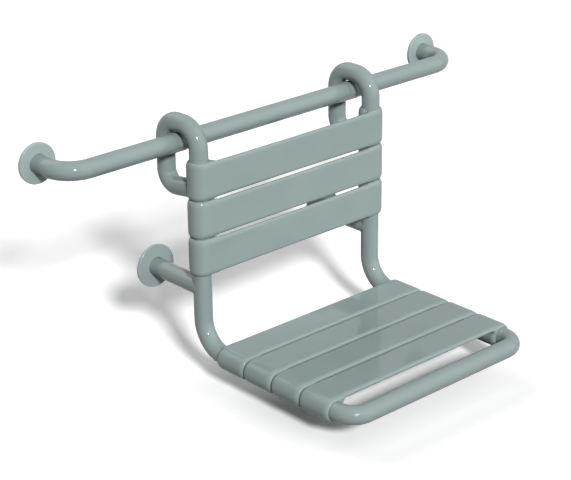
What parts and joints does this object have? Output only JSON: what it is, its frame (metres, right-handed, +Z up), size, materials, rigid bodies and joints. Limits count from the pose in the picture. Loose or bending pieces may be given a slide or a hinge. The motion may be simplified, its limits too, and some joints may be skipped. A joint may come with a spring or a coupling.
{
  "type": "hang-on shower seat",
  "caption": "Slatted shower seat on a bent tube frame that hangs by closed eyes on a wall grab rail, slides along it and swings up about it.",
  "frame": {"origin": "on the wall plane, level with the rail's axis and midway between the rail's two wall plates", "axes": "+X along the rail to the right seen from the room, +Y into the wall, +Z up"},
  "size_m": [0.984, 0.5235, 0.4404],
  "materials": {
    "coated_tube": "glossy nylon coating",
    "cover": "glossy moulded",
    "slat": "satin-gloss moulded",
    "steel": "zinc plated",
    "liner": "matt grey-green",
    "pad": "matt rubber"
  },
  "bodies": {
    "rail": {"rail_tube": "coated_tube", "left_wall_plate": "steel", "right_wall_plate": "steel", "left_wall_screw_1": "steel", "left_wall_screw_2": "steel", "left_wall_screw_3": "steel", "right_wall_screw_1": "steel", "right_wall_screw_2": "steel", "right_wall_screw_3": "steel"},
    "left_rose": {"left_rail_rose": "cover"},
    "right_rose": {"right_rail_rose": "cover"},
    "glides": {"left_hook_glide": "liner", "right_hook_glide": "liner"},
    "seat": {"left_hook": "coated_tube", "right_hook": "coated_tube", "left_side_tube": "coated_tube", "right_side_tube": "coated_tube", "front_tube": "coated_tube", "left_hook_spigot": "steel", "right_hook_spigot": "steel", "left_front_spigot": "steel", "right_front_spigot": "steel", "left_strut": "coated_tube", "right_strut": "coated_tube", "left_strut_disc": "cover", "right_strut_disc": "cover", "left_strut_pad": "pad", "right_strut_pad": "pad", "back_slat_1": "slat", "back_slat_2": "slat", "back_slat_3": "slat", "seat_slat_1": "slat", "seat_slat_2": "slat", "seat_slat_3": "slat", "seat_slat_4": "slat", "back_slat_1_left_screw": "steel", "back_slat_1_right_screw": "steel", "back_slat_2_left_screw": "steel", "back_slat_2_right_screw": "steel", "back_slat_3_left_screw": "steel", "back_slat_3_right_screw": "steel", "seat_slat_1_left_screw": "steel", "seat_slat_1_right_screw": "steel", "seat_slat_2_left_screw": "steel", "seat_slat_2_right_screw": "steel", "seat_slat_3_left_screw": "steel", "seat_slat_3_right_screw": "steel", "seat_slat_4_left_screw": "steel", "seat_slat_4_right_screw": "steel"}
  },
  "joints": [
    {"name": "seat_slide", "type": "slide", "parent": "rail", "child": "glides", "axis": [1, 0, 0], "range_m": [-0.16, 0.19]},
    {"name": "seat_swing", "type": "hinge", "parent": "glides", "child": "seat", "pos_m": [-0.017, -0.082, 0], "axis": [-1, 0, 0], "range_deg": [0, 136]},
    {"name": "left_rose_slide", "type": "slide", "parent": "rail", "child": "left_rose", "axis": [0, -1, 0], "range_m": [0, 0.015]},
    {"name": "right_rose_slide", "type": "slide", "parent": "rail", "child": "right_rose", "axis": [0, -1, 0], "range_m": [0, 0.015]}
  ]
}
